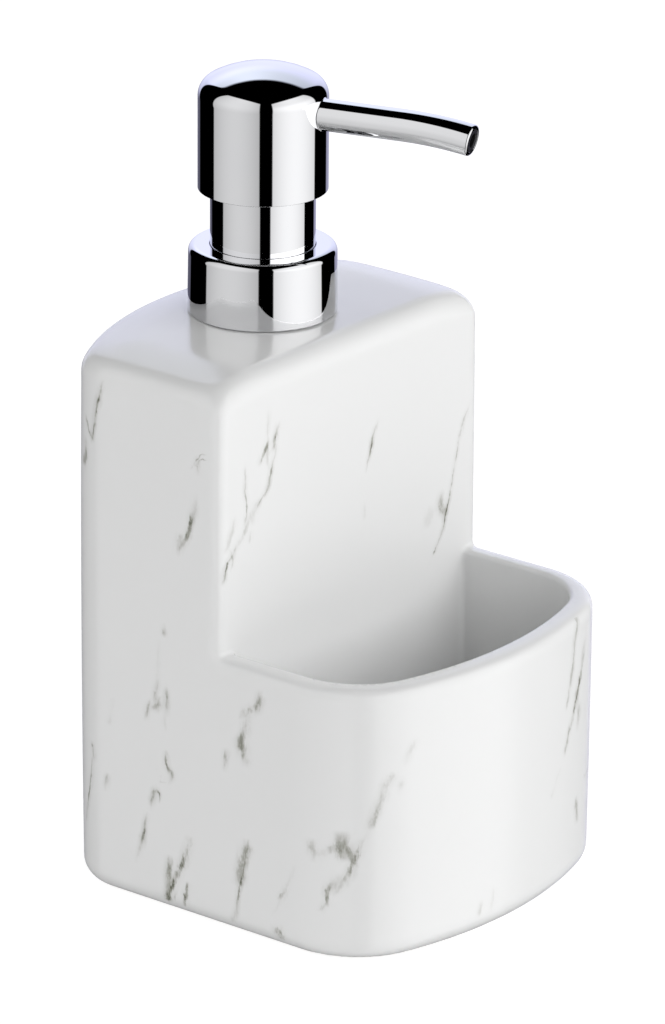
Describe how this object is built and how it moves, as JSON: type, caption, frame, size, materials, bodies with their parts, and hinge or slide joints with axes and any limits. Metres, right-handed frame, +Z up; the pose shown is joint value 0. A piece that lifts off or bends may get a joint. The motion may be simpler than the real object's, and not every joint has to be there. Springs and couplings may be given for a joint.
{
  "type": "soap pump caddy",
  "caption": "Glazed ceramic caddy with an open sponge tray in front of a soap reservoir, topped by a chromed push pump with a swivelling spout.",
  "frame": {"origin": "on the base plane, under the middle of the footprint", "axes": "+Z up, -Y towards the tray, +X to the right of a person who faces the tray"},
  "size_m": [0.0942, 0.1046, 0.1872],
  "materials": {
    "glazed_white": "gloss glaze with grey marble veins",
    "chrome": "mirror polish",
    "white_plastic": "moulded",
    "natural_plastic": "milky, moulded",
    "spring_steel": "drawn wire and ground balls",
    "rubber_seal": "matt",
    "dark_plastic": "matt"
  },
  "bodies": {
    "caddy": {"ceramic_body": "glazed_white", "neck_insert": "white_plastic"},
    "pump": {"neck_gasket": "rubber_seal", "pump_housing": "natural_plastic", "dip_tube": "natural_plastic", "guide_bush": "white_plastic", "guide_sleeve": "chrome", "ball_retainer": "white_plastic", "return_spring": "spring_steel"},
    "collar": {"collar_cover": "chrome", "collar_nut": "white_plastic"},
    "plunger": {"piston_seal": "natural_plastic"},
    "head": {"head_shell": "chrome", "head_core": "white_plastic", "spout_tube": "chrome", "spout_liner": "dark_plastic", "piston_stem": "white_plastic"},
    "inlet_valve": {"inlet_ball": "spring_steel"},
    "outlet_valve": {"outlet_ball": "spring_steel"}
  },
  "joints": [
    {"name": "pump_rise", "type": "slide", "parent": "caddy", "child": "pump", "axis": [0, 0, 1], "range_m": [0, 0.0053]},
    {"name": "collar_turn", "type": "hinge", "parent": "pump", "child": "collar", "pos_m": [0, 0.022, 0.1377], "axis": [0, 0, 1], "range_deg": [0, 450]},
    {"name": "press", "type": "slide", "parent": "pump", "child": "plunger", "axis": [0, 0, -1], "range_m": [0, 0.0126], "stiffness_N_per_m": 500, "springref_m": -0.012, "deforming": ["return_spring"]},
    {"name": "head_turn", "type": "hinge", "parent": "plunger", "child": "head", "pos_m": [0, 0.022, 0.1725], "axis": [0, 0, 1], "continuous": true},
    {"name": "inlet_lift", "type": "slide", "parent": "pump", "child": "inlet_valve", "axis": [0, 0, 1], "range_m": [0, 0.0008]},
    {"name": "outlet_lift", "type": "slide", "parent": "head", "child": "outlet_valve", "axis": [0, 0, 1], "range_m": [0, 0.0012]}
  ],
  "couplings": [
    {"joint": "pump_rise", "follows": "collar_turn", "m_per_rad": 0.00067322}
  ]
}
